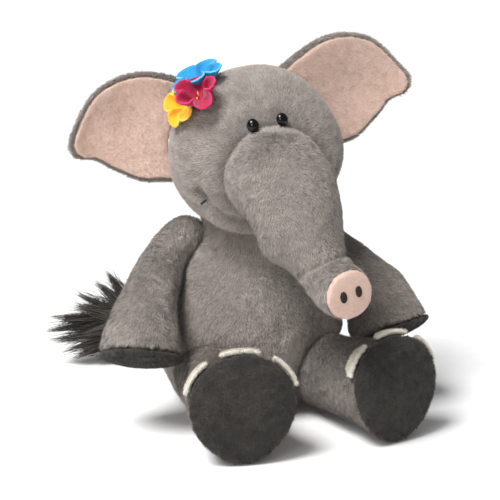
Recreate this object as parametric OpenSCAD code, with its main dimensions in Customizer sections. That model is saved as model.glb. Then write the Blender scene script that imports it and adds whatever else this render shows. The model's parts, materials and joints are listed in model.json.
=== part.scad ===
// Sitting plush elephant: sewn skins over stuffing, with a floppy head, trunk, ears, limbs and tail.
// Front is -Y, up is +Z, the origin is the middle of the seat on the ground. Millimetres.

/* [Fabric and seams] */
// Thickness of the plush fabric with its pile pressed flat
fabric_t = 3; // [2:0.5:4]
// Room between a skin and what it is filled with
fill_gap = 0.4; // [0.3:0.1:1]
// Room between two pieces that move on each other
joint_gap = 0.8; // [0.5:0.1:1.5]

/* [Torso] */
// Height of the torso at its neck
torso_h = 146; // [140:1:152]
// Largest radius of the torso, at the belly
torso_r = 75; // [72:1:77]
// Radius of the flat seat
seat_r = 50; // [46:1:54]

/* [Head] */
// Largest radius of the head, across the cheeks
head_r = 67; // [64:1:69]
// Height of the crown above the middle of the head
crown_h = 62; // [58:1:66]
// Depth of the chin below the middle of the head
chin_h = 61; // [57:1:63]
// Where the middle of the head is
head_at = [1, -16, 208];
// How far the head leans to its right
head_lean = 9; // [0:1:12]
// How far the head is turned, to its left when positive
head_turn = -7; // [-10:1:5]

/* [Trunk] */
// Radius of the trunk where it leaves the face
trunk_root_r = 38; // [34:1:40]
// Radius of the trunk behind its end
trunk_tip_r = 22; // [20:0.5:27]
// Radius of the pink pad on the end of the trunk
snout_r = 18; // [16:1:24]

/* [Face] */
// Width and height of an eye
eye_w = 9; // [7:0.5:10]
eye_h = 10.5; // [9:0.5:11]
// Distance of each eye from the middle of the face
eye_x = 11; // [10:0.5:13]
// Height of the eyes above the middle of the head
eye_z = 27.5; // [27:0.5:30]
// Diameter of a felt flower
flower_d = 32; // [28:1:34]
// Thickness of the felt
felt_t = 1.6; // [1:0.2:2]

/* [Ears] */
// Thickness of the grey back of an ear
ear_back_t = 4; // [3:0.5:5]
// Thickness of the pink lining of an ear
ear_lining_t = 3; // [2:0.5:4]

/* [Limbs] */
// Radius of an arm at its shoulder
arm_root_r = 19; // [17:1:20]
// Radius of an arm at its hand
hand_r = 34; // [30:1:35]
// Radius of a leg at its hip
leg_root_r = 30; // [27:1:31]
// Half the width of a foot across its toes
foot_r = 41; // [38:1:42]
// Thickness of a hand pad or a sole
pad_t = 4; // [3:0.5:5]

/* [Hidden] */
$fn = 48;

grey = "#8f8a86";
dark = "#3a3835";
blush = "#e3bfae";
ivory = "#ddd8d0";
filling = "#f2efe8";

// ---- Curves and lofts ----

function unit(v) = v / norm(v);
function backwards(list) = [for (i = [len(list) - 1:-1:0]) list[i]];

// Smooth curve through the stations, at t from 0 to the last station's number
function spline(s, t) =
    let (n = len(s) - 1, i = min(floor(t), n - 1), f = t - i)
    let (a = s[max(i - 1, 0)], b = s[i], c = s[i + 1], d = s[min(i + 2, n)])
    0.5 * (2 * b + (c - a) * f + (2 * a - 5 * b + 4 * c - d) * f * f + (3 * b - a - 3 * c + d) * f * f * f);

function place(station) = [station[0], station[1], station[2]];
function heading(s, t) = unit(place(spline(s, min(t + 0.05, len(s) - 1))) - place(spline(s, max(t - 0.05, 0))));

// A ring of points round c, square to d. wide is its radius along the side axis, tall its radius the other way,
// and egg makes the upper half wider than the lower half.
function ring(c, d, side, wide, tall, egg, n) =
    let (u = unit(side - (side * d) * d), v = cross(d, u))
    [for (i = [0:n - 1]) let (a = 360 * i / n) c + u * wide * cos(a) * (1 + egg * sin(a)) + v * tall * sin(a)];

// Rings of a limb: a round cap at the root and then the stations [x, y, z, wide, tall, egg], all inset
function limb_rings(s, side, inset, n, steps, cap_steps = 6) =
    let (d0 = heading(s, 0), r = s[0][3] - inset, end = len(s) - 1)
    concat(
        [for (i = [0:cap_steps - 1]) let (p = 3 + 87 * i / cap_steps)
            ring(place(s[0]) - d0 * r * cos(p), d0, side, r * sin(p), r * sin(p), 0, n)],
        [for (i = [0:steps]) let (t = end * i / steps, q = spline(s, t))
            ring(place(q), heading(s, t), side, q[3] - inset, q[4] - inset, q[5], n)]
    );

// A closed solid through rings of equal length
// A strip has rings that run out along one side and back along the other, and its ends close crosswise
module loft(rings, strip = false) {
    n = len(rings[0]);
    m = len(rings);
    sides = [for (i = [0:m - 2]) for (j = [0:n - 1]) for (half = [0, 1])
        let (a = i * n + j, b = i * n + (j + 1) % n) half == 0 ? [b, a, b + n] : [b + n, a, a + n]];
    first = strip
        ? [for (j = [0:n / 2 - 2]) each [[j, j + 1, n - 2 - j], [j, n - 2 - j, n - 1 - j]]]
        : [[for (j = [0:n - 1]) j]];
    last = [for (f = first) [for (k = [len(f) - 1:-1:0]) (m - 1) * n + f[k]]];
    polyhedron(points = [for (r = rings) each r], faces = concat(sides, first, last));
}

// A sewn tube with a closed root and an open end
module limb_skin(s, side, n = 24, steps = 10) {
    loft(concat(limb_rings(s, side, 0, n, steps), backwards(limb_rings(s, side, fabric_t, n, steps))));
}

module limb_stuffing(s, side, n = 24, steps = 10) {
    loft(limb_rings(s, side, fabric_t + fill_gap, n, steps));
}

// A slightly domed pad over the open end of a limb
module limb_pad(s, side, n = 24) {
    q = s[len(s) - 1];
    d = heading(s, len(s) - 1);
    dome = [[fill_gap, 1], [pad_t * 0.6, 1], [pad_t, 0.93], [pad_t + 1.6, 0.7], [pad_t + 2.6, 0.35]];
    loft([for (h = dome) ring(place(q) + d * h[0], d, side, q[3] * h[1], q[4] * h[1], q[5], n)]);
}

// A patch that lies on a limb between two stations and two angles
module limb_patch(s, side, t0, t1, a0, a1, lift, thick, n = 8, steps = 4) {
    function spot(t, a, out) =
        let (q = spline(s, t), d = heading(s, t), u = unit(side - (side * d) * d), v = cross(d, u))
        place(q) + u * (q[3] + out) * cos(a) * (1 + q[5] * sin(a)) + v * (q[4] + out) * sin(a);
    // Each row runs over the top of the patch and back underneath it
    loft([for (i = [0:steps]) let (t = t0 + (t1 - t0) * i / steps, w = sqrt(sin(20 + 70 * i / steps)))
        concat(
            [for (j = [0:n]) spot(t, (a0 + a1) / 2 + (a1 - a0) * w * (j / n - 0.5), lift + thick)],
            [for (j = [n:-1:0]) spot(t, (a0 + a1) / 2 + (a1 - a0) * w * (j / n - 0.5), lift)]
        )], strip = true);
}

// ---- Torso ----

torso_outline = [
    [seat_r, 0], [seat_r + 6, 5], [seat_r + 10, 14], [torso_r - 7, 30], [torso_r - 1, 48], [torso_r, 67],
    [torso_r - 5, 90], [torso_r - 13, 108], [torso_r - 22, 123], [torso_r - 33, 135], [torso_r - 46, torso_h - 4],
    [torso_r - 65, torso_h - 1], [0, torso_h]
];
torso_mid = [0, 60];
shoulder = [46, 7, 134];
hip = [42, -34, leg_root_r + 5];
tail_root = [0, torso_r - 7, 38];
tail_root_r = 10;
// The head turns and nods about its own middle, inside a ball that clears its cheeks
neck_pivot = head_at;
neck_r = head_r + 6;
leg_up = 5;
leg_down = 30;
tail_up = 40;

function shrunk(outline, mid, by, r) = [for (p = outline) mid + (p - mid) * (1 - by / r)];
function smooth(outline, steps) =
    [for (i = [0:(len(outline) - 1) * steps]) let (p = spline(outline, i / steps)) [max(p[0], 0), p[1]]];

// Half of a skin of revolution, on the +X side
module half_shell(outline, mid, r) {
    outer = smooth(outline, 2);
    inner = smooth(shrunk(outline, mid, fabric_t, r), 2);
    translate([0.2, 0, 0])
        rotate([0, 0, -90])
            rotate_extrude(angle = 180)
                polygon(concat(outer, backwards(inner)));
}

// A tapered rod between two points
module rod(p, q, r1, r2) {
    d = q - p;
    translate(p) rotate([0, acos(d[2] / norm(d)), atan2(d[1], d[0])]) cylinder(r1 = r1, r2 = r2, h = norm(d));
}

// Room for an arm, which only swings away from the torso
module arm_room(s) {
    translate(place(s[0])) sphere(r = arm_root_r + joint_gap + 1);
    rod(place(s[0]), place(s[1]), arm_root_r + joint_gap, s[1][3] + 3);
    translate(place(s[1])) sphere(r = s[1][3] + 4);
    rod(place(s[1]), place(s[2]) * 1.5 - place(s[1]) * 0.5, s[1][3] + 2.4, s[2][3] + 5.6);
}

// Room for a leg, which swings up and down about a level axis square to it
module leg_room(s) {
    d = place(s[1]) - place(s[0]);
    r = s[1][3] + 1.2;
    translate(place(s[0]))
        rotate([0, 0, atan2(d[0], -d[1])]) {
            sphere(r = leg_root_r + joint_gap);
            rotate([leg_down, 0, 0]) rotate([90, 0, 0]) cylinder(r = r + 0.6, h = 70);
            rotate([-leg_up, 0, 0]) rotate([90, 0, 0]) cylinder(r = r + 0.9, h = 68);
            rotate([-90 - leg_up, 0, 0])
                rotate([0, 90, 0])
                    rotate_extrude(angle = leg_up + leg_down) polygon([[0, -r], [66, -r], [66, r], [0, r]]);
        }
}

module tail_room(s) {
    d = place(s[1]) - place(s[0]);
    side = atan2(-d[0], d[1]);
    translate(place(s[0])) {
        sphere(r = tail_root_r + joint_gap);
        for (a = [0:tail_up / 3:tail_up])
            rotate([0, 0, side]) rotate([a, 0, -side]) rod([0, 0, 0], d * 1.3, tail_root_r + joint_gap, tail_root_r - 1);
    }
}

module limb_sockets() {
    arm_room(arm_line(1));
    arm_room(arm_line(-1));
    leg_room(leg_left_line);
    leg_room(leg_right_line);
    tail_room(tail_line);
    translate(neck_pivot) sphere(r = neck_r + joint_gap);
}

module torso_panel(side) {
    color(grey)
        difference() {
            mirror([side < 0 ? 1 : 0, 0, 0]) half_shell(torso_outline, torso_mid, torso_r);
            limb_sockets();
        }
}

module seat_panel() {
    color(grey) cylinder(r = seat_r - 5, h = fabric_t);
}

bean_bag_h = 16;
bean_bag_r = 35;
bean_bag_y = 14;

module torso_stuffing() {
    core = smooth(shrunk(torso_outline, torso_mid, fabric_t + fill_gap, torso_r), 2);
    color(filling)
        difference() {
            rotate_extrude() polygon(concat([[0, core[0][1]]], core));
            limb_sockets();
            translate([0, bean_bag_y, -1]) cylinder(r = bean_bag_r + 1, h = bean_bag_h + 6);
            translate([0, 0, -1]) cylinder(r = seat_r, h = fabric_t + 2);
        }
}

// Bag of plastic beads that weighs the seat down
module seat_bean_bag() {
    color(ivory) translate([0, bean_bag_y, fabric_t + fill_gap + 0.6]) cylinder(r = bean_bag_r, h = bean_bag_h);
}

// ---- Neck ----

// A round cap cut from a shell about the neck's pivot, between two radii
module neck_cap(inner_r, outer_r, wide) {
    translate(neck_pivot)
        difference() {
            intersection() {
                sphere(r = outer_r);
                translate([0, 12, -outer_r - 5]) cylinder(r = wide, h = outer_r);
            }
            sphere(r = inner_r);
        }
}

module neck_collar() { color(grey) neck_cap(neck_r - fabric_t, neck_r, 24); }
module neck_stuffing() { color(filling) neck_cap(neck_r - fabric_t - 1.8, neck_r - fabric_t - 0.3, 14); }

// ---- Head ----

head_outline = [
    [0, -chin_h], [24, 1 - chin_h], [38, 5 - chin_h], [head_r - 16, 14 - chin_h], [head_r - 7, -34],
    [head_r - 1, -18], [head_r, -4], [head_r - 2, 12], [head_r - 8, 28], [head_r - 19, crown_h - 19],
    [head_r - 33, crown_h - 8], [18, crown_h - 2], [0, crown_h]
];
head_mid = [0, 0];
trunk_root = [0, -34, -15];

module in_head() {
    translate(head_at) rotate([0, -head_lean, head_turn]) children();
}

module trunk_socket() {
    translate(trunk_root) sphere(r = trunk_root_r + fill_gap);
    translate(trunk_root) rotate([86, 0, 0]) cylinder(r = trunk_root_r + fill_gap + 0.4, h = 50);
}

// Stands children on the face where an eye is, pointing out of it
module on_eye(side) {
    translate([side * eye_x, -58.6, eye_z]) rotate([0, 0, side * 11]) rotate([73, 0, 0]) children();
}

module head_panel(side) {
    color(grey)
        in_head()
            difference() {
                mirror([side < 0 ? 1 : 0, 0, 0]) half_shell(head_outline, head_mid, head_r);
                trunk_socket();
                for (eye_side = [-1, 1]) on_eye(eye_side) translate([0, 0, -8]) cylinder(r = 1.9, h = 12, $fn = 24);
            }
}

module head_stuffing() {
    core = smooth(shrunk(head_outline, head_mid, fabric_t + fill_gap, head_r), 2);
    color(filling)
        in_head()
            difference() {
                rotate_extrude() polygon(core);
                trunk_socket();
                for (side = [-1, 1]) on_eye(side) translate([0, 0, -11]) cylinder(r = 7, h = 20, $fn = 24);
            }
}

// A bead eye with a flat back and the stem that goes through the skin
module eye(side) {
    color("black")
        in_head()
            on_eye(side)
                translate([0, 0, 1]) {
                    intersection() {
                        scale([eye_w / 10, eye_h / 10, 0.7]) sphere(r = 5, $fn = 32);
                        cylinder(r = 8, h = 8);
                    }
                    translate([0, 0, -9.5]) cylinder(r = 1.5, h = 10, $fn = 24);
                }
}

module eye_washer(side) {
    color("white")
        in_head()
            on_eye(side)
                translate([0, 0, -6.6])
                    difference() {
                        cylinder(r = 4, h = 1.6, $fn = 32);
                        translate([0, 0, -1]) cylinder(r = 1.55, h = 4, $fn = 24);
                    }
}

// ---- Trunk ----

// Stations of the trunk in the head's frame
// The upper trunk is sewn to the face and the lower trunk hangs in its open end
trunk_base_line = [
    [0, trunk_root[1], trunk_root[2], trunk_root_r - 1, trunk_root_r - 1, 0],
    [0, -62, -14, trunk_root_r - 0.5, trunk_root_r - 1.5, 0],
    [1, -82, -17, trunk_root_r - 1, trunk_root_r - 1, 0],
    [3, -94, -29, 34.5, 34.5, 0]
];
trunk_line = [
    [3, -94, -30, 26, 26, 0],
    [3.5, -97, -37, 28, 28, 0],
    [5, -101, -46, 28.5, 28.5, 0],
    [8, -106, -59, 25, 25, 0],
    [11, -112, -73, trunk_tip_r, trunk_tip_r, 0],
    [16, -125, -85, trunk_tip_r, trunk_tip_r, 0],
    [20, -142, -87, trunk_tip_r - 1, trunk_tip_r - 1, 0]
];
trunk_end = len(trunk_line) - 1;
across = [1, 0, 0];

module trunk_base_skin() { color(grey) in_head() limb_skin(trunk_base_line, across, 28, 12); }

// Filling of the upper trunk, stopping short of the lower trunk's round root
module trunk_base_stuffing() {
    core = [for (i = [0:1]) let (q = trunk_base_line[i]) [q[0], q[1], q[2], q[3] - 1, q[4] - 1, 0]];
    color(filling) in_head() limb_stuffing(core, across, 28, 4);
}

module trunk_skin() { color(grey) in_head() limb_skin(trunk_line, across, 28, 18); }
module trunk_stuffing() { color(filling) in_head() limb_stuffing(trunk_line, across, 28, 18); }

snout_d = heading(trunk_line, trunk_end);

module on_snout(out) {
    q = place(trunk_line[trunk_end]) + snout_d * out;
    in_head() translate(q) rotate([0, 0, atan2(snout_d[0], -snout_d[1])]) rotate([90 - asin(snout_d[2]), 0, 0]) children();
}

module ellipse_disc(a, b, h) {
    linear_extrude(height = h) polygon([for (i = [0:31]) [a * cos(i * 11.25), b * sin(i * 11.25)]]);
}

module snout_pad() {
    color(blush) on_snout(fill_gap) cylinder(r = min(snout_r, trunk_tip_r - 1 - fabric_t - 0.3), h = 3.4);
}

module nostrils() {
    color("black")
        for (side = [-1, 1])
            on_snout(3.9) translate([side * 5.5, -1, 0]) ellipse_disc(3, 5, 0.8);
}

// ---- Flowers and mouth ----

module felt_flower(d) {
    petal_r = d * 0.22;
    for (i = [0:4]) rotate([0, 0, 72 * i]) translate([d / 2 - petal_r, 0, 0]) cylinder(r = petal_r, h = felt_t);
    cylinder(r = d * 0.2, h = felt_t);
}

// Places of the flowers in the head's frame: [position, tip back, lean out]
blue_at = [[-36, -5, 61], [14, -26, 0]];
pink_at = [[-43, -24, 53], [36, -34, 0]];
yellow_at = [[-57.5, -11, 39], [34, -60, 0]];

module flower(at, tone, d) {
    color(tone) in_head() translate(at[0]) rotate(at[1]) felt_flower(d);
}

module flower_stitches() {
    color("white")
        in_head()
            for (at = [blue_at, pink_at, yellow_at])
                translate(at[0]) rotate(at[1]) translate([0, 0, felt_t + 0.05]) cylinder(r = 1.6, h = 0.8, $fn = 24);
}

module mouth_stitches() {
    color("black")
        in_head()
            for (side = [-1, 1])
                translate([side * 54, -42, -24]) rotate([0, 0, side * 53]) rotate([0, side * 30, 0]) cube([7, 1.2, 1.6], center = true);
}

// ---- Ears ----

ear_y = 14;
// How far back an ear sits
ear_rest = 8;
// The edge of an ear, from the top of its seam round to the bottom of it
ear_outline = [
    [33, 50], [51, 62], [68, 68], [83, 69], [98, 66], [111, 60], [121, 50], [130, 37], [136, 26], [136, 17],
    [130, 11], [119, 8], [110, 0], [101, -6], [92, -12], [82, -16], [66, -17]
];
ear_hinge_top = [44, ear_y, 52];
ear_hinge_bottom = [66, ear_y, -12];
ear_forward = 14;
ear_back = 24;

module about_ear_hinge(angle) {
    v = ear_hinge_top - ear_hinge_bottom;
    translate(ear_hinge_bottom) rotate(a = angle, v = v) translate(-ear_hinge_bottom) children();
}

// What an ear must stay clear of while it swings
module head_clearance() {
    for (a = [-ear_back - ear_rest, -ear_rest, ear_forward - ear_rest])
        about_ear_hinge(a)
            rotate([0, 0, 170]) rotate_extrude() polygon(shrunk(head_outline, head_mid, -1.6, head_r));
}

module ear_layer(side, y, t, inset) {
    mid = [90, 26];
    edge = smooth(shrunk(ear_outline, mid, inset, 48), 3);
    in_head()
        mirror([side < 0 ? 1 : 0, 0, 0])
            about_ear_hinge(ear_rest)
                difference() {
                    translate([0, y + t, 0]) rotate([90, 0, 0]) linear_extrude(height = t) polygon(edge);
                    head_clearance();
                }
}

module ear_back_layer(side) { color(grey) ear_layer(side, ear_y + 0.1, ear_back_t, 0); }
module ear_lining(side) { color(blush) ear_layer(side, ear_y - ear_lining_t - 0.2, ear_lining_t, 3); }

// ---- Limbs ----

// Stations of each limb: [x, y, z, wide, tall, egg]
function arm_line(side) = [
    [side * shoulder[0], shoulder[1], shoulder[2], arm_root_r, arm_root_r, 0],
    [side * 66, -2, 122, arm_root_r, arm_root_r, 0],
    [side * 83, -22, 104, 22, 22, 0],
    [side * 97, -41, 83, 28, 28, 0],
    [side * 102, -50, 62, hand_r, hand_r - 1, 0]
];
forward = [0, -1, 0];

// The feet point out by different amounts
function leg_line(side, out, reach) = [
    [side * hip[0], hip[1], hip[2], leg_root_r, leg_root_r, 0],
    [side * (46 + out * 0.2), -66, 35, leg_root_r + 1, leg_root_r + 1, 0],
    [side * (52 + out * 0.7), -104, 38, 35, 34, 0.03],
    [side * (58 + out), -reach, foot_r + 0.3, foot_r, foot_r, 0.1]
];
leg_left_line = leg_line(1, 9, 134);
leg_right_line = leg_line(-1, -3, 139);

module toenails(s) {
    color(ivory)
        for (a = [38, 90, 142]) limb_patch(s, across, 2.62, 2.99, a - 19, a + 19, 0.2, 1.8, 6, 4);
}

// ---- Tail ----

tail_line = [
    [tail_root[0], tail_root[1], tail_root[2], tail_root_r, tail_root_r, 0],
    [-10, tail_root[1] + 19, 34, 8, 8, 0],
    [-28, tail_root[1] + 36, 29, 7, 7, 0],
    [-47, tail_root[1] + 47, 28, 7, 7, 0]
];
tuft_line = [
    [-50, tail_root[1] + 49, 29, 8, 8, 0],
    [-62, tail_root[1] + 53, 32, 18, 20, 0],
    [-80, tail_root[1] + 58, 36, 26, 31, 0],
    [-102, tail_root[1] + 62, 40, 24, 34, 0],
    [-119, tail_root[1] + 66, 40, 12, 24, 0],
    [-127, tail_root[1] + 67, 40, 3, 8, 0]
];
up = [0, 0, 1];

module tail_tuft() {
    color(dark) loft([for (i = [0:15]) let (t = 5 * i / 15, q = spline(tuft_line, t))
        ring(place(q), heading(tuft_line, t), up, q[3], q[4], 0, 16)]);
}

torso_panel(1);  // torso_panel_left
torso_panel(-1);  // torso_panel_right
seat_panel();
torso_stuffing();
seat_bean_bag();
neck_collar();
neck_stuffing();
head_panel(1);  // head_panel_left
head_panel(-1);  // head_panel_right
head_stuffing();
eye(1);  // eye_left
eye(-1);  // eye_right
eye_washer(1);  // eye_washer_left
eye_washer(-1);  // eye_washer_right
mouth_stitches();
flower(blue_at, "#2a9fd6", flower_d + 2);  // flower_blue
flower(pink_at, "#c4104f", flower_d);  // flower_pink
flower(yellow_at, "#f2b93a", flower_d);  // flower_yellow
flower_stitches();
trunk_base_skin();
trunk_base_stuffing();
trunk_skin();
trunk_stuffing();
snout_pad();
nostrils();
ear_back_layer(1);  // ear_left_back
ear_lining(1);  // ear_left_lining
ear_back_layer(-1);  // ear_right_back
ear_lining(-1);  // ear_right_lining
color(grey) limb_skin(arm_line(1), forward);  // arm_left_skin
color(filling) limb_stuffing(arm_line(1), forward);  // arm_left_stuffing
color(dark) limb_pad(arm_line(1), forward);  // arm_left_pad
color(grey) limb_skin(arm_line(-1), forward);  // arm_right_skin
color(filling) limb_stuffing(arm_line(-1), forward);  // arm_right_stuffing
color(dark) limb_pad(arm_line(-1), forward);  // arm_right_pad
color(grey) limb_skin(leg_left_line, across);  // leg_left_skin
color(filling) limb_stuffing(leg_left_line, across);  // leg_left_stuffing
color(dark) limb_pad(leg_left_line, across);  // leg_left_sole
toenails(leg_left_line);  // leg_left_toenails
color(grey) limb_skin(leg_right_line, across);  // leg_right_skin
color(filling) limb_stuffing(leg_right_line, across);  // leg_right_stuffing
color(dark) limb_pad(leg_right_line, across);  // leg_right_sole
toenails(leg_right_line);  // leg_right_toenails
color(grey) limb_skin(tail_line, up, 16, 8);  // tail_skin
color(filling) limb_stuffing(tail_line, up, 16, 8);  // tail_stuffing
tail_tuft();
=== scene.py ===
"""Stuffed elephant: plush pieces, pile, materials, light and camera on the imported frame."""

import json
import math

import bmesh
import bpy
import numpy as np
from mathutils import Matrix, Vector


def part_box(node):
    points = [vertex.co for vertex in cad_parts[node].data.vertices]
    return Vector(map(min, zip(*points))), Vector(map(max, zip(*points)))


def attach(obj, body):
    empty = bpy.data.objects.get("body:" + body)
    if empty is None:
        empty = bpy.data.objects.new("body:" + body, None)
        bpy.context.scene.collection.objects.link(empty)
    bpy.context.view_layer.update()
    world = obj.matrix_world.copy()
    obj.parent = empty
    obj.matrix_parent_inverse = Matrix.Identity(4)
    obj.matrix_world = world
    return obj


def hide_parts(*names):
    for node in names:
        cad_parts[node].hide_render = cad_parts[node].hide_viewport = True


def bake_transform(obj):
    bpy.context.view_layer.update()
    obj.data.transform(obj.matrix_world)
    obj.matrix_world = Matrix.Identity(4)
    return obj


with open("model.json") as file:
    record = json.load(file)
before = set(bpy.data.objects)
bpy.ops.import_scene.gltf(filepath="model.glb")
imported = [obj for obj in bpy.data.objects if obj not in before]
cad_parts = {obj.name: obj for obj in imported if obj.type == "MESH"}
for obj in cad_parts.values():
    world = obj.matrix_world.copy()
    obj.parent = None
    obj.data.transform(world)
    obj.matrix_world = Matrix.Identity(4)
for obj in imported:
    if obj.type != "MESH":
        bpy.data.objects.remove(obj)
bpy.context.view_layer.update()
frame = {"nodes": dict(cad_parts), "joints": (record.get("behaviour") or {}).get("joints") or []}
nodes = frame["nodes"]
joints = {j["name"]: j for j in frame["joints"]}
scene = bpy.context.scene
MM = 0.001


def pivot(name):
    return np.array(joints[name]["pos_m"], float)


# ---- The head's own axes: it leans to one side and turns a little ----

HEAD = pivot("neck_turn")
LEAN, TURN = math.radians(-9), math.radians(-7)
AXES = np.array(
    [[math.cos(TURN), -math.sin(TURN), 0], [math.sin(TURN), math.cos(TURN), 0], [0, 0, 1]]
) @ np.array(
    [[math.cos(LEAN), 0, math.sin(LEAN)], [0, 1, 0], [-math.sin(LEAN), 0, math.cos(LEAN)]]
)


def in_head(points):
    """Millimetres in the head's axes to metres in the row frame."""
    return HEAD + np.atleast_2d(np.array(points, float)) @ AXES.T * MM


def to_head(points):
    """Metres in the row frame to millimetres in the head's axes."""
    return (points - HEAD) @ AXES / MM


# ---- Mesh tools ----


def coords(me):
    co = np.empty(len(me.vertices) * 3, np.float32)
    me.vertices.foreach_get("co", co)
    return co.reshape(-1, 3).astype(float)


def set_coords(me, co):
    me.vertices.foreach_set("co", co.astype(np.float32).ravel())
    me.update()


def normals(me):
    n = np.empty(len(me.vertices) * 3, np.float32)
    me.vertices.foreach_get("normal", n)
    return n.reshape(-1, 3).astype(float)


def edges_of(me):
    e = np.empty(len(me.edges) * 2, np.int32)
    me.edges.foreach_get("vertices", e)
    return e.reshape(-1, 2)


def triangles(me):
    me.calc_loop_triangles()
    t = np.empty(len(me.loop_triangles) * 3, np.int32)
    me.loop_triangles.foreach_get("vertices", t)
    return t.reshape(-1, 3)


def node_mesh(*names):
    """Points and triangles of some frame nodes as one mesh."""
    co, tris, base = [], [], 0
    for n in names:
        me = nodes[n].data
        co.append(coords(me))
        tris.append(triangles(me) + base)
        base += len(me.vertices)
    return np.vstack(co), np.vstack(tris)


def add_mesh(name, co, tris, smooth=True):
    me = bpy.data.meshes.new(name)
    me.vertices.add(len(co))
    me.vertices.foreach_set("co", co.astype(np.float32).ravel())
    me.loops.add(len(tris) * tris.shape[1])
    me.loops.foreach_set("vertex_index", tris.astype(np.int32).ravel())
    me.polygons.add(len(tris))
    me.polygons.foreach_set("loop_start", np.arange(0, tris.size, tris.shape[1], dtype=np.int32))
    me.update(calc_edges=True)
    me.polygons.foreach_set("use_smooth", np.full(len(tris), smooth))
    ob = bpy.data.objects.new(name, me)
    scene.collection.objects.link(ob)
    return ob


def applied(ob):
    """The object with its modifiers made part of its mesh."""
    graph = bpy.context.evaluated_depsgraph_get()
    me = bpy.data.meshes.new_from_object(ob.evaluated_get(graph), depsgraph=graph)
    ob.modifiers.clear()
    old = ob.data
    ob.data = me
    bpy.data.meshes.remove(old)
    me.polygons.foreach_set("use_smooth", np.full(len(me.polygons), True))
    return ob


def relax(co, edges, steps, keep=True):
    """Smooth points along their edges; keep grows the shape back after each step."""
    a, b = edges.T
    n = len(co)
    count = np.maximum(np.bincount(a, minlength=n) + np.bincount(b, minlength=n), 1)
    for _ in range(steps):
        for f in (0.5, -0.52) if keep else (0.5,):
            s = np.stack(
                [np.bincount(a, co[b, k], n) + np.bincount(b, co[a, k], n) for k in range(3)], 1
            )
            co = co + f * (s / count[:, None] - co)
    return co


def along(p, line):
    """Distance of each point to a polyline."""
    best = np.full(len(p), 1e9)
    for a, b in zip(line[:-1], line[1:]):
        d = b - a
        t = np.clip((p - a) @ d / (d @ d), 0, 1)
        best = np.minimum(best, np.linalg.norm(p - a - t[:, None] * d, axis=1))
    return best


def near(distance, wide):
    """1 on a feature, falling smoothly to 0 over wide millimetres, for distances in metres."""
    return np.exp(-((distance / (wide * MM)) ** 2))


def near_point(p, at, wide):
    return near(np.linalg.norm(p - at, axis=1), wide)


class Waves:
    """A smooth uneven field, with values about -1 to 1, that repeats nowhere near the object."""

    def __init__(self, seed, short, long, n=16):
        rng = np.random.default_rng(seed)
        d = rng.normal(size=(n, 3))
        d /= np.linalg.norm(d, axis=1)[:, None]
        self.k = d * (2 * math.pi / rng.uniform(short, long, n))[:, None] / MM
        self.phase = rng.uniform(0, 2 * math.pi, n)

    def __call__(self, p):
        return np.sin(p @ self.k.T + self.phase).sum(1) * math.sqrt(2 / len(self.phase)) * 0.7


def puff(ob, cap, pressure=4.0, frames=12, pinned=None):
    """Cloth pressure from inside, with no point moving further than cap millimetres."""
    rest = coords(ob.data)
    cloth = ob.modifiers.new("Cloth", "CLOTH")
    s = cloth.settings
    s.quality = 4
    s.mass = 0.25
    s.tension_stiffness = s.compression_stiffness = 12
    s.bending_stiffness = 0.6
    s.use_pressure = True
    s.uniform_pressure_force = pressure
    s.effector_weights.gravity = 0
    if pinned is not None:
        group = ob.vertex_groups.new(name="pin")
        group.add([int(i) for i in np.nonzero(pinned)[0]], 1.0, "REPLACE")
        s.vertex_group_mass = "pin"
    cloth.point_cache.frame_start, cloth.point_cache.frame_end = 1, frames
    for f in range(1, frames + 1):
        scene.frame_set(f)
    graph = bpy.context.evaluated_depsgraph_get()
    new = coords(ob.evaluated_get(graph).data)
    ob.modifiers.clear()
    ob.vertex_groups.clear()
    scene.frame_set(1)
    move = np.nan_to_num(new - rest)
    size = np.linalg.norm(move, axis=1)[:, None]
    far = cap * MM
    move *= np.where(size > 1e-9, far * np.tanh(size / far) / np.maximum(size, 1e-9), 0)
    edges = edges_of(ob.data)
    set_coords(ob.data, rest + relax(move, edges, 3, keep=False))


def soft(
    name, names, voxel=3.0, hull=False, steps=6, cap=3.0, inset=1.0, sculpt=None, pin=None, pressure=4.0,
    made=None,
):
    """A stuffed piece over the space that these CAD nodes hold."""
    co, tris = made or node_mesh(*names)
    if hull:
        bm = bmesh.new()
        for p in np.unique(co.round(5), axis=0):
            bm.verts.new(p)
        wrap = bmesh.ops.convex_hull(bm, input=bm.verts)
        loose = {v for v in wrap["geom_interior"] + wrap["geom_unused"] if isinstance(v, bmesh.types.BMVert)}
        bmesh.ops.delete(bm, geom=list(loose), context="VERTS")
        me = bpy.data.meshes.new(name)
        bm.to_mesh(me)
        bm.free()
        ob = bpy.data.objects.new(name, me)
        scene.collection.objects.link(ob)
    else:
        ob = add_mesh(name, co, tris)
    mod = ob.modifiers.new("Remesh", "REMESH")
    mod.mode = "VOXEL"
    mod.voxel_size = voxel * MM
    applied(ob)
    set_coords(ob.data, relax(coords(ob.data), edges_of(ob.data), steps))
    p, n = coords(ob.data), normals(ob.data)
    set_coords(ob.data, p - n * (inset + 0.5 * cap) * MM)
    if cap:
        puff(ob, cap, pressure, pinned=None if pin is None else pin(coords(ob.data)))
    mod = ob.modifiers.new("Fine", "SUBSURF")
    mod.levels = mod.render_levels = 1
    applied(ob)
    if sculpt:
        p, n = coords(ob.data), normals(ob.data)
        set_coords(ob.data, p + n * sculpt(p)[:, None] * MM)
    return ob


# ---- Materials ----


def rgb(r, g, b):
    """An sRGB colour of 0 to 255 as linear RGBA."""
    out = []
    for v in (r, g, b):
        v /= 255
        out.append(v / 12.92 if v <= 0.04045 else ((v + 0.055) / 1.055) ** 2.4)
    return (*out, 1.0)


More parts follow.
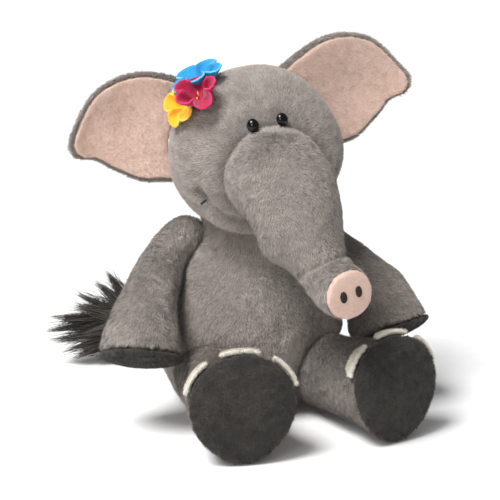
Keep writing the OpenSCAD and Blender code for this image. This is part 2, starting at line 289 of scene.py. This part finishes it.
def principled(name, colour, rough=0.9, **sockets):
    """A plain material and its shader node."""
    mat = bpy.data.materials.new(name)
    mat.use_nodes = True
    p = mat.node_tree.nodes["Principled BSDF"]
    p.inputs["Base Color"].default_value = colour
    p.inputs["Roughness"].default_value = rough
    for k, v in sockets.items():
        p.inputs[k.replace("_", " ")].default_value = v
    mat.diffuse_color = colour
    return mat, p


def fabric(name, light, dark, grain=900.0, patch=45.0, rough=0.9, bump=0.4, **sockets):
    """Cloth with fine grain, broad uneven patches and a bump of its own weave or pile."""
    mat, p = principled(name, light, rough, **sockets)
    t = mat.node_tree
    new, link = t.nodes.new, t.links.new
    at = new("ShaderNodeTexCoord")
    fine, broad = new("ShaderNodeTexNoise"), new("ShaderNodeTexNoise")
    for tex, scale, detail in ((fine, grain, 4), (broad, patch, 3)):
        tex.inputs["Scale"].default_value = scale
        tex.inputs["Detail"].default_value = detail
        link(at.outputs["Object"], tex.inputs["Vector"])
    mix = new("ShaderNodeMath")
    mix.operation = "MULTIPLY_ADD"
    mix.inputs[1].default_value = 0.55
    link(fine.outputs["Fac"], mix.inputs[0])
    half = new("ShaderNodeMath")
    half.operation = "MULTIPLY"
    half.inputs[1].default_value = 0.45
    link(broad.outputs["Fac"], half.inputs[0])
    link(half.outputs[0], mix.inputs[2])
    ramp = new("ShaderNodeValToRGB")
    ramp.color_ramp.elements[0].position = 0.35
    ramp.color_ramp.elements[1].position = 0.65
    ramp.color_ramp.elements[0].color = dark
    ramp.color_ramp.elements[1].color = light
    link(mix.outputs[0], ramp.inputs["Fac"])
    link(ramp.outputs["Color"], p.inputs["Base Color"])
    b = new("ShaderNodeBump")
    b.inputs["Strength"].default_value = bump
    b.inputs["Distance"].default_value = 0.0006
    link(fine.outputs["Fac"], b.inputs["Height"])
    link(b.outputs["Normal"], p.inputs["Normal"])
    return mat


def tones(name, colour, spread=(0.8, 0.93, 1.03, 1.15), rough=0.85, sheen=0.25):
    return [
        principled(
            f"{name}_{i}",
            (*[min(1.0, c * k) for c in colour[:3]], 1.0),
            rough,
            Sheen_Weight=sheen,
            Sheen_Roughness=0.5,
            Specular_IOR_Level=0.25,
        )[0]
        for i, k in enumerate(spread)
    ]


GREY, BLUSH, DARK, IVORY = rgb(168, 159, 152), rgb(219, 193, 180), rgb(60, 57, 52), rgb(240, 235, 226)
grey_base = fabric("grey_plush", rgb(130, 123, 117), rgb(96, 90, 86), Sheen_Weight=0.3)
blush_base = fabric("blush_plush", rgb(216, 190, 176), rgb(202, 172, 156), Sheen_Weight=0.3)
dark_base = fabric("dark_plush", rgb(50, 47, 43), rgb(32, 30, 27), Sheen_Weight=0.3)
ivory_base = fabric("ivory_plush", rgb(232, 226, 214), rgb(200, 192, 178), Sheen_Weight=0.3)
grey_tones = tones("grey_pile", GREY)
blush_tones = tones("blush_pile", BLUSH, (0.84, 0.93, 1.0, 1.06))
dark_tones = tones("dark_pile", DARK, (0.6, 0.85, 1.1, 1.5))
ivory_tones = tones("ivory_pile", IVORY, (0.86, 0.94, 1.0, 1.04))
tail_tones = tones("tail_hair", rgb(76, 71, 66), (0.45, 0.8, 1.15, 1.8), rough=0.55, sheen=0.1)


# ---- Pile ----


def pile(
    name, ob, mats, flow, per_mm2=3.2, length=3.4, width=0.34, lean=1.08, seed=1,
    keep=None, trim=None, clump=0.28, most=195000,
):
    """Short hairs over a piece: each is one thin tapering blade, combed along flow."""
    rng = np.random.default_rng(seed)
    me = ob.data
    co, nr, t = coords(me), normals(me), triangles(me)
    cross = np.cross(co[t[:, 1]] - co[t[:, 0]], co[t[:, 2]] - co[t[:, 0]])
    area = np.linalg.norm(cross, axis=1) / 2
    total = area.sum()
    n = int(min(most, total / MM**2 * per_mm2))
    pick = np.minimum(np.searchsorted(np.cumsum(area), rng.random(n) * total), len(t) - 1)
    u, v = rng.random(n), rng.random(n)
    over = u + v > 1
    u[over], v[over] = 1 - u[over], 1 - v[over]
    w = np.stack([1 - u - v, u, v], 1)[:, :, None]
    root = (co[t[pick]] * w).sum(1)
    up = (nr[t[pick]] * w).sum(1)
    up /= np.maximum(np.linalg.norm(up, axis=1), 1e-9)[:, None]
    if keep is not None:
        ok = keep(root, rng)
        root, up = root[ok], up[ok]
        n = len(root)
    lock = Waves(seed + 11, 6, 14)(root)
    swirl = Waves(seed + 12, 16, 40)(root)
    rise = Waves(seed + 13, 4, 9)(root)
    d = flow(root)
    d = d - (d * up).sum(1)[:, None] * up
    d /= np.maximum(np.linalg.norm(d, axis=1), 1e-9)[:, None]
    side = np.cross(up, d)
    a = clump * lock + 0.25 * swirl + 0.25 * rng.normal(size=n)
    d = d * np.cos(a)[:, None] + side * np.sin(a)[:, None]
    tilt = lean + 0.14 * rng.normal(size=n) + 0.13 * rise
    d = up * np.cos(tilt)[:, None] + d * np.sin(tilt)[:, None]
    reach = length * (1 + 0.14 * rise + 0.14 * rng.normal(size=n))
    if trim is not None:
        reach = reach * trim(root)
    reach = np.clip(reach, 0.3, length * 1.7) * MM
    flat = np.cross(d, up)
    flat /= np.maximum(np.linalg.norm(flat, axis=1), 1e-9)[:, None]
    roll = 0.5 * rng.normal(size=n)
    flat = flat * np.cos(roll)[:, None] + np.cross(d, flat) * np.sin(roll)[:, None]
    half = flat * (width * MM / 2 * rng.uniform(0.7, 1.2, n))[:, None]
    root = root - up * 0.3 * MM
    out = np.stack([root - half, root + half, root + d * reach[:, None]], 1).reshape(-1, 3)
    hairs = add_mesh(name, out, np.arange(3 * n).reshape(-1, 3), smooth=False)
    for m in mats:
        hairs.data.materials.append(m)
    tone = 1.5 + 0.9 * Waves(seed + 14, 5, 13)(root) + 0.6 * Waves(seed + 15, 30, 70)(root)
    tone = tone + 0.7 * rng.normal(size=n)
    hairs.data.polygons.foreach_set(
        "material_index", np.clip(tone.round(), 0, len(mats) - 1).astype(np.int32)
    )
    return hairs


def steady(x, y, z):
    """A combing direction that is the same everywhere."""
    return lambda p: np.broadcast_to(np.array([x, y, z], float), p.shape)


def cover(mat, *obs):
    for ob in obs:
        ob.data.materials.clear()
        ob.data.materials.append(mat)


def riding(body, slot, *obs):
    """Pieces that move with one body."""
    for ob in obs:
        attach(ob, body)


def bending(a, b, start, end, slot, *obs):
    """Pieces with their placement baked into their points; bodies a and b and the two points are not used."""
    for ob in obs:
        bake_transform(ob)


# ---- Torso ----

BELLY = np.array([[1, -52, 125], [1, -68, 100], [2, -74, 80], [1, -76, 60], [2, -72, 34], [3, -62, 12]]) * MM
SLIT = np.array([[2, -74, 82], [2, -75, 70]]) * MM
HAUNCH = np.array([60, -54, 66]) * MM

def torso_shape(p):
    seams = -1.6 * near(along(p, BELLY), 3.2) - 2.2 * near(along(p, SLIT), 4)
    return seams + 0.5 * Waves(3, 25, 60)(p) + 9.0 * near_point(p, HAUNCH, 18)


def torso_pin(p):
    """The seams of the belly, the seat and the neck stay put."""
    return (np.abs(p[:, 0]) < 2.5 * MM) | (p[:, 2] < 4 * MM) | (p[:, 2] > 138 * MM)


def torso_flow(p):
    return np.stack([p[:, 0] * 3, p[:, 1] * 0, -np.ones(len(p))], 1)


torso = soft(
    "torso", ["torso_panel_left", "torso_panel_right", "seat_panel"], 3.6, hull=True, cap=3.0, inset=1.2,
    sculpt=torso_shape, pin=torso_pin,
)
cover(grey_base, torso)
torso_pile = pile(
    "torso_pile", torso, grey_tones, torso_flow, 3.0, seed=21,
    trim=lambda p: 1 - 0.75 * near(along(p, BELLY), 2.5),
    keep=lambda p, r: p[:, 2] > 2 * MM,
)
riding("torso", "grey_plush", torso, torso_pile)
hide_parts("torso_panel_left", "torso_panel_right", "seat_panel", "torso_stuffing", "seat_bean_bag")

# ---- Neck ----

ring_z = np.array([120, 128, 136, 144, 152, 162]) * MM
ring_r = np.array([40, 39, 37, 36, 38, 42]) * MM
AROUND = 48
turn = np.linspace(0, 2 * math.pi, AROUND, endpoint=False)
neck_co = np.array(
    [
        [HEAD[0] + r * math.cos(a), HEAD[1] + 6 * MM + r * math.sin(a), z]
        for r, z in zip(ring_r, ring_z)
        for a in turn
    ]
)
quads = np.array(
    [
        [i + j, i + (j + 1) % AROUND, i + AROUND + (j + 1) % AROUND, i + AROUND + j]
        for i in range(0, AROUND * (len(ring_z) - 1), AROUND)
        for j in range(AROUND)
    ]
)
neck = add_mesh("neck", neck_co, quads)
mod = neck.modifiers.new("Fine", "SUBSURF")
mod.levels = mod.render_levels = 2
applied(neck)
cover(grey_base, neck)
neck_pile = pile("neck_pile", neck, grey_tones, steady(0, 0, -1), 2.0, length=4.5, seed=22)
riding("neck", "grey_plush", neck, neck_pile)
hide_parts("neck_collar", "neck_stuffing")

# ---- Head ----

EYES = np.array([np.mean([np.array(c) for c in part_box(n)], 0) for n in ("eye_left", "eye_right")])
MOUTH = [
    in_head([[s * 53, -37, -20], [s * 49, -40, -30], [s * 40, -43, -39], [s * 28, -46, -45], [0, -48, -49]])
    for s in (-1, 1)
]
CHIN = in_head([[-42, -34, -46], [-24, -40, -54], [0, -42, -56], [24, -40, -54], [42, -34, -46]])
CHEEKS = in_head([[-58, -22, -12], [58, -22, -12]])
CROWN = in_head([[0, 20, 62], [0, -5, 62], [0, -28, 56], [0, -46, 44], [0, -56, 32]])


def head_shape(p):
    q = to_head(p)
    out = 0.5 * Waves(5, 30, 70)(p)
    out -= 0.9 * near(along(p, CROWN), 3)
    for line in MOUTH:
        out -= 8.0 * near(along(p, line), 4.6)
    out += 5.0 * near(along(p, CHIN), 10)
    for cheek in CHEEKS:
        out += 2.5 * near_point(p, cheek, 26)
    # The face swells towards the trunk, but not round the eyes
    from_trunk = np.hypot(q[:, 0], q[:, 2] + 13) * MM
    swell = near(from_trunk - 43 * MM, 9) * np.clip((-q[:, 1] - 15) / 20, 0, 1)
    for e in EYES:
        out -= 0.5 * near_point(p, e, 9)
        swell *= 1 - near_point(p, e, 14)
    return out + 3.0 * swell


head = soft(
    "head", ["head_panel_left", "head_panel_right"], 3.4, hull=True, cap=3.0, inset=1.2, sculpt=head_shape,
    steps=10,
)
cover(grey_base, head)
NOSE = in_head([[0, -60, -10]])[0]


def head_flow(p):
    away = p - NOSE
    away /= np.linalg.norm(away, axis=1)[:, None]
    return away + np.array([0, 0.3, -0.25])


def head_trim(p):
    out = np.ones(len(p))
    for e in EYES:
        out *= 1 - 0.85 * near_point(p, e, 7.5)
    for line in MOUTH:
        out *= 1 - 0.5 * near(along(p, line), 2.5)
    return out * (1 - 0.4 * near(along(p, CROWN), 1.6))


def outside_trunk(p, rng):
    """No hair on the face inside the trunk's root."""
    q = to_head(p)
    return np.hypot(q[:, 0], q[:, 2] + 14) + 60 * (q[:, 1] > 0) > 33


head_pile = pile("head_pile", head, grey_tones, head_flow, seed=23, trim=head_trim, keep=outside_trunk)
riding("head", "grey_plush", head, head_pile)
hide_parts("head_panel_left", "head_panel_right", "head_stuffing")

# Two thread stitches that pull the corners of the mouth in
st_co, st_tris = node_mesh("mouth_stitches")
far = st_co[:, 0] > HEAD[0]
st_co[far] += in_head([[-11, -6, -8]])[0] - HEAD
st_co[~far] += in_head([[0.5, -1.2, -1.0]])[0] - HEAD
stitches = add_mesh("mouth_corner_stitches", st_co, st_tris)
mod = stitches.modifiers.new("Remesh", "REMESH")
mod.mode, mod.voxel_size = "VOXEL", 0.35 * MM
applied(stitches)
set_coords(stitches.data, relax(coords(stitches.data), edges_of(stitches.data), 4))
cover(fabric("dark_thread", rgb(48, 42, 40), rgb(24, 20, 20), grain=2500, bump=0.8), stitches)
riding("head", "dark_thread", stitches)
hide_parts("mouth_stitches")

# ---- Trunk ----

LIFT = pivot("trunk_lift")
SEAM = MM * np.array(
    [[-11, -124, 218], [-7, -138, 203], [-1, -144, 185], [1, -151, 168], [4, -157, 154], [9, -163, 146]]
)
LIP = in_head([-19, -95, -57])[0]
RING_AT, RING_AXIS = in_head([[12, -112, -72]])[0], AXES @ np.array([0.19, -0.39, -0.90])


def trunk_shape(p):
    front = np.clip((-(to_head(p)[:, 1]) - 108) / 12, 0, 1)
    folds = 1.3 * near(along(p, SEAM), 2.4) + 1.6 * front * near((p - RING_AT) @ RING_AXIS, 2.4)
    return 0.4 * Waves(7, 20, 45)(p) + 6.0 * near_point(p, LIP, 14) - folds


# Stations of the trunk: x, y, z and radius
TRUNK = np.array(
    [
        [0, -30, -13, 41], [0, -46, -13, 40], [0, -62, -13, 38.5], [0.5, -76, -15, 37.5],
        [1.5, -86, -21, 36.5], [3, -94, -31, 35], [5, -100, -44, 32], [8, -106, -58, 26],
        [11, -112, -71, 21.6], [13.5, -119, -79, 20.6], [16, -126, -84, 20.5], [18, -134, -86, 20.5],
        [20, -141.5, -87, 20.2],
    ]
)


def loft_mesh(stations, side, sides=48, fine=5):
    """A closed sweep through stations of x, y, z and radius, in the head's axes."""
    t = np.linspace(0, len(stations) - 1, (len(stations) - 1) * fine + 1)
    line = np.stack([np.interp(t, np.arange(len(stations)), stations[:, k]) for k in range(4)], 1)
    for _ in range(6):
        line[1:-1] = (line[:-2] + 2 * line[1:-1] + line[2:]) / 4
    d = np.gradient(line[:, :3], axis=0)
    d /= np.linalg.norm(d, axis=1)[:, None]
    v = np.cross(d, side)
    v /= np.linalg.norm(v, axis=1)[:, None]
    u = np.cross(v, d)
    a = np.linspace(0, 2 * math.pi, sides, endpoint=False)
    rings = line[:, None, :3] + line[:, 3, None, None] * (
        u[:, None] * np.cos(a)[None, :, None] + v[:, None] * np.sin(a)[None, :, None]
    )
    co = np.vstack([rings.reshape(-1, 3), line[:1, :3], line[-1:, :3]])
    n, tris = len(line), []
    for i in range(n - 1):
        for j in range(sides):
            k = (j + 1) % sides
            p, q = i * sides, (i + 1) * sides
            tris += [[p + j, p + k, q + k], [p + j, q + k, q + j]]
    for j in range(sides):
        k = (j + 1) % sides
        tris += [[n * sides, k, j], [n * sides + 1, (n - 1) * sides + j, (n - 1) * sides + k]]
    return in_head(co), np.array(tris)


trunk = soft(
    "trunk", [], 2.6, cap=2.0, inset=0.8, sculpt=trunk_shape, made=loft_mesh(TRUNK, np.array([1.0, 0, 0]))
)
cover(grey_base, trunk)


def trunk_flow(p):
    q = to_head(p)
    root = np.clip((q[:, 2] + 30) / 45, 0, 1)[:, None]
    away = p - in_head([[0, -72, 26]])[0]
    away /= np.linalg.norm(away, axis=1)[:, None]
    down = np.array([0.1, -0.45, -0.88])
    return down * (1 - root) + (away + np.array([0, 0, -0.3])) * root


trunk_pile = pile(
    "trunk_pile", trunk, grey_tones, trunk_flow, 3.4, length=3.2, width=0.34, seed=24,
    trim=lambda p: 1 - 0.6 * near(along(p, SEAM), 1.7),
)
drop = AXES @ np.array([0, -0.35, -0.94])
bending("head", "trunk", LIFT + drop * -0.008, LIFT + drop * 0.022, "grey_plush", trunk, trunk_pile)
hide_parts("trunk_base_skin", "trunk_base_stuffing", "trunk_skin", "trunk_stuffing")

# The pad at the end of the trunk
snout = soft("snout", ["snout_pad"], 1.4, cap=0.0, inset=0.0, steps=6)
p = coords(snout.data)
c = p.mean(0)
axis = np.linalg.svd(p[::7] - c)[2][2]
axis *= -1 if axis @ (c - LIFT) < 0 else 1
r = np.linalg.norm((p - c) - ((p - c) @ axis)[:, None] * axis, axis=1) / (22 * MM)
facing = normals(snout.data) @ axis > 0.2
crown = np.where(facing, 1.6 * np.cos(np.clip(r, 0, 1) * 1.5), -0.5)
set_coords(snout.data, p + axis * (crown * MM)[:, None])
cover(blush_base, snout)
snout_pile = pile(
    "snout_pile", snout, blush_tones, steady(0, 0, -1), 5.0, length=1.3, width=0.3, lean=0.9, seed=25,
    clump=0.3,
)
riding("trunk", "blush_plush", snout, snout_pile)
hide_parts("snout_pad")

# Two embroidered nostrils, each a raised oval of satin stitches
UP = AXES @ np.array([0, -0.35, 0.94])
UP = UP - (UP @ axis) * axis
UP /= np.linalg.norm(UP)
ACROSS = np.cross(UP, axis)
ACROSS *= -1 if ACROSS[0] < 0 else 1
face_at = c + axis * ((p - c) @ axis).max()
holes_co, holes_tris = [], []
for k, at in enumerate((-6.2, 6.2)):
    base = len(holes_co)
    holes_co.append(face_at + ACROSS * at * MM + axis * 2.6 * MM)
    for i, f in enumerate(np.linspace(0.2, 1, 6)):
        for a in np.linspace(0, 2 * math.pi, 40, endpoint=False):
            stitch = 0.12 * math.cos(a * 20) * f
            holes_co.append(
                face_at
                + ACROSS * (at + 3.1 * f * math.cos(a)) * MM
                + UP * (1.0 + 5.0 * f * math.sin(a)) * MM
                + axis * (0.4 + 2.2 * math.sqrt(max(0, 1 - f * f)) + stitch) * MM
            )
    holes_tris += [[base, base + 1 + j, base + 1 + (j + 1) % 40] for j in range(40)]
    for i in range(5):
        m, n = base + 1 + i * 40, base + 1 + (i + 1) * 40
        for j in range(40):
            q = (j + 1) % 40
            holes_tris += [[m + j, n + j, n + q], [m + j, n + q, m + q]]
nostrils = add_mesh("nostril_stitches", np.array(holes_co), np.array(holes_tris))
cover(fabric("nostril_stitching", rgb(50, 32, 32), rgb(30, 18, 18), grain=2200, bump=0.8), nostrils)
riding("trunk", "dark_thread", nostrils)
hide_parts("nostrils")

# ---- Ears ----


def ear(side):
    s = 1 if side == "left" else -1
    name = f"ear_{side}"
    hinge = joints[f"{name}_swing"]
    at, v = np.array(hinge["pos_m"], float), np.array(hinge["axis"], float)
    v /= np.linalg.norm(v)
    back = soft(name, [f"{name}_back"], 1.3, cap=0.0, inset=0.2, steps=24)
    lining = soft(f"{name}_lining", [f"{name}_lining"], 1.3, cap=0.0, inset=0.0, steps=30)
    mid = coords(back.data).mean(0)
    out = mid - at - ((mid - at) @ v) * v
    out /= np.linalg.norm(out)
    face = np.cross(v, out)
    face *= -1 if face[1] > 0 else 1
    for ob, thick in ((back, 0.0), (lining, 0.6)):
        p = coords(ob.data)
        q = p - at
        x, z = (q @ out) / MM, (q @ v) / MM
        zm = ((mid - at) @ v) / MM
        reach = np.clip(x / 70, 0, 1)
        curl = 7.0 * np.clip((np.hypot((x - 38) / 42, (z - zm) / 46) - 0.55) / 0.5, 0, 1) ** 2 * reach
        dish = -4.0 * np.exp(-(((x - 36) / 24) ** 2 + ((z - zm) / 28) ** 2))
        ripple = 1.2 * Waves(31 + s, 30, 60)(p) * reach
        tuck = -9.0 * np.clip(1 - x / 16, 0, 1) ** 1.5
        if ob is lining:
            p = p + (p.mean(0) - p) * 0.035
        p = p + face * ((curl + dish + ripple + thick) * MM)[:, None] + out * (tuck * MM)[:, None]
        set_coords(ob.data, p)
    cover(grey_base, back)
    cover(blush_base, lining)
    flow = lambda p: np.broadcast_to(out - 0.35 * np.array([0, 0, 1.0]), p.shape)
    back_pile = pile(f"{name}_pile", back, grey_tones, flow, 3.0, length=3.4, seed=26 + s)
    lining_pile = pile(
        f"{name}_lining_pile", lining, blush_tones, flow, 4.0, length=2.0, width=0.32, lean=1.05, seed=36 + s,
        clump=0.4,
    )
    riding(name, "grey_plush", back, back_pile)
    riding(name, "blush_plush", lining, lining_pile)
    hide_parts(f"{name}_back")
    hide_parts(f"{name}_lining")


ear("left")
ear("right")

# ---- Arms and legs ----

# Folds in a limb: a line in millimetres, its depth and its width; a fold of negative depth is a swelling
CREASES = {
    "arm_right": [(np.array([[-57, -19, 127], [-66, -37, 109], [-80, -64, 90]]), 1.6, 5.0)],
    "arm_left": [
        (np.array([[72, -24, 128], [82, -36, 122], [87, -52, 110], [93, -66, 95]]), 3.2, 6.0),
        (np.array([[68, -58, 62], [72, -50, 70]]), -4.0, 13.0),
    ],
}


def limb(name, joint, end, pad, extra, seed):
    at = pivot(joint)
    far = np.mean([np.array(c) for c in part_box(pad)], 0)
    d = far - at
    d /= np.linalg.norm(d)
    lines = [(line * MM, depth, wide) for line, depth, wide in CREASES.get(name, [])]

    def shape(p):
        out = 0.6 * Waves(seed, 22, 50)(p)
        for line, depth, wide in lines:
            out -= depth * near(along(p, line), wide)
        return out

    ob = soft(name, [f"{name}_skin", f"{name}_stuffing"], 3.0, cap=2.6, inset=1.1, sculpt=shape, steps=8)
    cover(grey_base, ob)
    flow = lambda p: np.broadcast_to(d + np.array([0, 0, -0.25]), p.shape)
    ob_pile = pile(f"{name}_pile", ob, grey_tones, flow, 3.0, length=3.6, seed=seed)
    bending("torso", name, at + d * 0.004, at + d * 0.030, "grey_plush", ob, ob_pile)
    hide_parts(f"{name}_skin", f"{name}_stuffing")
    sole = soft(f"{name}_{end}", [pad], 2.2, cap=1.6, inset=0.2, steps=8, pressure=3.0)
    p = coords(sole.data)
    c = p.mean(0)
    axis = np.linalg.svd(p[::5] - c)[2][2]
    axis *= -1 if axis @ d < 0 else 1
    r = np.linalg.norm((p - c) - ((p - c) @ axis)[:, None] * axis, axis=1)
    crown = 3.0 * np.cos(np.clip(r / r.max(), 0, 1) * 1.5) * (normals(sole.data) @ axis > 0.2)
    set_coords(sole.data, p + axis * (crown * MM)[:, None])
    cover(dark_base, sole)
    sole_pile = pile(
        f"{name}_{end}_pile", sole, dark_tones, steady(0.2, 0, -1), 3.6, length=2.4, width=0.36, lean=0.9,
        seed=seed + 5, clump=0.7,
    )
    riding(name, "dark_plush", sole, sole_pile)
    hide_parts(pad)
    if extra:
        nails = soft(f"{name}_nails", [extra], 1.3, cap=0.0, inset=-0.6, steps=4)
        cover(ivory_base, nails)
        nails_pile = pile(
            f"{name}_nails_pile", nails, ivory_tones, flow, 6.0, length=2.0, width=0.32, lean=1.0,
            seed=seed + 6, clump=0.25,
        )
        riding(name, "ivory_plush", nails, nails_pile)
        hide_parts(extra)


limb("arm_left", "arm_left_raise", "pad", "arm_left_pad", None, 51)
limb("arm_right", "arm_right_raise", "pad", "arm_right_pad", None, 52)
limb("leg_left", "leg_left_swing", "sole", "leg_left_sole", "leg_left_toenails", 53)
limb("leg_right", "leg_right_swing", "sole", "leg_right_sole", "leg_right_toenails", 54)

# ---- Tail ----

TAIL = pivot("tail_lift")
tail = soft("tail", ["tail_skin", "tail_stuffing"], 1.6, cap=1.0, inset=0.6, steps=6)
cover(grey_base, tail)
tuft_high = np.array(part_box("tail_tuft")[1])
tuft_co = coords(nodes["tail_tuft"].data)
START = np.array([tuft_high[0], tuft_co[tuft_co[:, 0] > tuft_high[0] - 2 * MM][:, 1].mean(), 0.030])
away = (START - TAIL) / np.linalg.norm(START - TAIL)
tail_pile = pile("tail_pile", tail, grey_tones, steady(*away), 3.0, length=4.0, seed=61)
bending("torso", "tail", TAIL, TAIL + away * 0.02, "grey_plush", tail, tail_pile)
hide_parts("tail_skin", "tail_stuffing")

LOCKS = np.array(
    [
        [-73, 135, 77], [-83, 136, 69], [-98, 139, 60], [-102, 137, 50], [-119, 141, 41], [-124, 139, 30],
        [-122, 137, 22], [-113, 133, 12], [-104, 129, 7], [-86, 122, 6], [-98, 120, 30], [-92, 146, 46],
        [-108, 150, 34], [-84, 114, 48],
    ]
) * MM


def tuft():
    """Long hairs that leave the tail's end together and gather into pointed locks."""
    rng = np.random.default_rng(71)
    co, tris, tone, base = [], [], [], 0
    steps = 7
    t = np.linspace(0, 1, steps)
    for i, tip in enumerate(LOCKS):
        bow = rng.normal(size=3) * 3 * MM
        for j in range(300):
            a = START + rng.normal(size=3) * np.array([4, 3.5, 5]) * MM
            spread = 1.4 if j % 5 else 6.5
            b = a + (tip - a) * rng.uniform(0.6, 1.04) + rng.normal(size=3) * spread * MM
            b[2] = max(b[2], 0.003)
            out = rng.normal(size=3) * 2.2 * MM + bow
            line = a + (b - a) * t[:, None] + np.sin(t * math.pi)[:, None] * out + (
                np.array([0.012, 0.006, 0.0]) * (np.sin(t * math.pi) * 0.3)[:, None]
            )
            line[:, 2] = np.maximum(line[:, 2], 0.0025)
            d = b - a
            flat = np.cross(d, rng.normal(size=3))
            flat /= np.linalg.norm(flat)
            wide = (0.34 * (1 - t) ** 0.6 + 0.04)[:, None] * MM
            pts = np.stack([line - flat * wide, line + flat * wide], 1).reshape(-1, 3)
            co.append(pts)
            for k in range(base, base + 2 * (steps - 1), 2):
                tris.append([k, k + 1, k + 3, k + 2])
            shade = round(1.2 + 0.8 * rng.normal() + 0.5 * math.sin(i * 2.1))
            tone += [min(max(shade, 0), len(tail_tones) - 1)] * (steps - 1)
            base += 2 * steps
    ob = add_mesh("tail_tuft_hair", np.vstack(co), np.array(tris), smooth=True)
    for m in tail_tones:
        ob.data.materials.append(m)
    ob.data.polygons.foreach_set("material_index", np.array(tone, np.int32))
    return ob


hair = tuft()
riding("tail", "long_pile", hair)
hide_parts("tail_tuft")

# ---- Felt flowers ----


def flower(node, light, dark, edge, seed, up, shift, scale):
    """A cupped felt flower at its node, moved by shift, tilted up and grown by scale."""
    p = coords(nodes[node].data)
    c = p.mean(0) + np.array(shift) * MM
    axis = np.linalg.svd(p - p.mean(0))[2][2]
    axis *= -1 if axis @ (c - HEAD) < 0 else 1
    axis = axis + up * AXES[:, 2]
    axis /= np.linalg.norm(axis)
    rng = np.random.default_rng(seed)
    u = np.cross(axis, [0, 0, 1.0])
    u /= np.linalg.norm(u)
    v = np.cross(axis, u)
    size = np.abs((p - p.mean(0)) @ u).max()
    petals, rings, around = 5, 10, 120
    a = np.linspace(0, 2 * math.pi, around, endpoint=False)
    which = np.floor(((a + math.pi / petals) % (2 * math.pi)) / (2 * math.pi / petals)).astype(int)
    mid = which * 2 * math.pi / petals
    off = (a - mid + math.pi) % (2 * math.pi) - math.pi
    rim = size * scale * (0.5 + 0.5 * np.abs(np.cos(off * petals / 2)) ** 0.42)
    lift = rng.uniform(0.35, 1.15, petals)[which]
    lift = (np.roll(lift, -3) + np.roll(lift, 3) + lift * 2 + np.roll(lift, -6) + np.roll(lift, 6)) / 6
    co = [c + axis * -2.0 * MM]
    for k in range(1, rings + 1):
        f = k / rings
        h = 12.5 * MM * lift * f**1.7 + 2.0 * MM * f * np.abs(off / (math.pi / petals)) ** 2.5
        pull = 1 - 0.16 * lift * f
        for r, ai, hi, pu in zip(rim, a, h, pull):
            co.append(c + (u * math.cos(ai) + v * math.sin(ai)) * r * f * pu + axis * (hi - 2.0 * MM))
    me = bpy.data.meshes.new(node + "_felt")
    polys = [(0, 1 + j, 1 + (j + 1) % around) for j in range(around)]
    for k in range(rings - 1):
        b = 1 + k * around
        for j in range(around):
            q = (j + 1) % around
            polys.append((b + j, b + around + j, b + around + q, b + q))
    me.from_pydata([tuple(x) for x in co], [], polys)
    me.update()
    ob = bpy.data.objects.new(node + "_felt", me)
    scene.collection.objects.link(ob)
    felt = {"grain": 1500, "patch": 120, "bump": 0.6}
    ob.data.materials.append(fabric(node + "_felt", light, dark, Sheen_Weight=0.2, **felt))
    ob.data.materials.append(fabric(node + "_edge", edge, light, **felt))
    mod = ob.modifiers.new("Felt", "SOLIDIFY")
    mod.thickness = 1.5 * MM
    mod.offset = 0
    mod.material_offset_rim = 1
    applied(ob)
    riding("head", f"{node.removeprefix('flower_')}_felt", ob)
    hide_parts(node, *(["flower_stitches"] if node == "flower_pink" else []))


BLUE = rgb(40, 160, 212), rgb(22, 130, 190), rgb(130, 205, 235)
PINK = rgb(186, 12, 74), rgb(150, 6, 56), rgb(214, 60, 116)
YELLOW = rgb(246, 188, 44), rgb(232, 160, 24), rgb(252, 216, 110)
flower("flower_blue", *BLUE, seed=81, up=0.5, shift=[3.2, 1.4, -5.6], scale=1.45)
flower("flower_pink", *PINK, seed=82, up=0.6, shift=[2.2, -4.6, -4.6], scale=1.3)
flower("flower_yellow", *YELLOW, seed=83, up=0.1, shift=[7.6, -1.6, 3.8], scale=1.2)

# ---- Hard trim that stays as the frame has it ----


trim_mats = {
    "eye_left": fabric(
        "eye_bead", rgb(12, 10, 9), rgb(6, 5, 5), grain=400, rough=0.16, bump=0.02, Specular_IOR_Level=0.35
    ),
    "eye_washer_left": fabric(
        "washer", rgb(210, 208, 204), rgb(190, 188, 184), grain=700, rough=0.6, bump=0.1
    ),
}
trim_mats["eye_right"] = trim_mats["eye_left"]
trim_mats["eye_washer_right"] = trim_mats["eye_washer_left"]
for n, m in trim_mats.items():
    cover(m, nodes[n])
    nodes[n].data.polygons.foreach_set("use_smooth", np.full(len(nodes[n].data.polygons), True))

# ---- Floor, light and camera ----

paper = fabric("floor_paper", rgb(247, 247, 247), rgb(243, 243, 243), grain=60, patch=3, rough=0.8, bump=0.0)
floor_co = 9.0 * np.array([[-1, -1, 0], [1, -1, 0], [1, 1, 0], [-1, 1, 0]])
floor = add_mesh("floor", floor_co, np.array([[0, 1, 2, 3]]))
cover(paper, floor)

world = bpy.data.worlds.new("studio")
scene.world = world
world.use_nodes = True
sky = world.node_tree.nodes["Background"]
sky.inputs["Color"].default_value = (1, 1, 1, 1)
sky.inputs["Strength"].default_value = 0.27


def aimed(name, data, at, target):
    ob = bpy.data.objects.new(name, data)
    scene.collection.objects.link(ob)
    ob.location = at
    ob.rotation_euler = (Vector(target) - Vector(at)).to_track_quat("-Z", "Y").to_euler()
    return ob


sun = bpy.data.lights.new("window", "SUN")
sun.energy, sun.angle = 4.2, math.radians(26)
aimed("window", sun, (-1.15, -0.42, 2.1), (0, 0, 0.1))
key = bpy.data.lights.new("softbox", "AREA")
key.shape, key.size, key.size_y, key.energy = "RECTANGLE", 0.6, 0.6, 7
aimed("softbox", key, (-1.1, -1.3, 1.0), (0, -0.05, 0.15))

lens = bpy.data.cameras.new("camera")
lens.lens, lens.sensor_width = 135, 36
scene.camera = aimed("camera", lens, (-0.5076, -1.3336, 0.4770), (0.0139, 0.0251, 0.1141))
scene.view_settings.view_transform = "Standard"
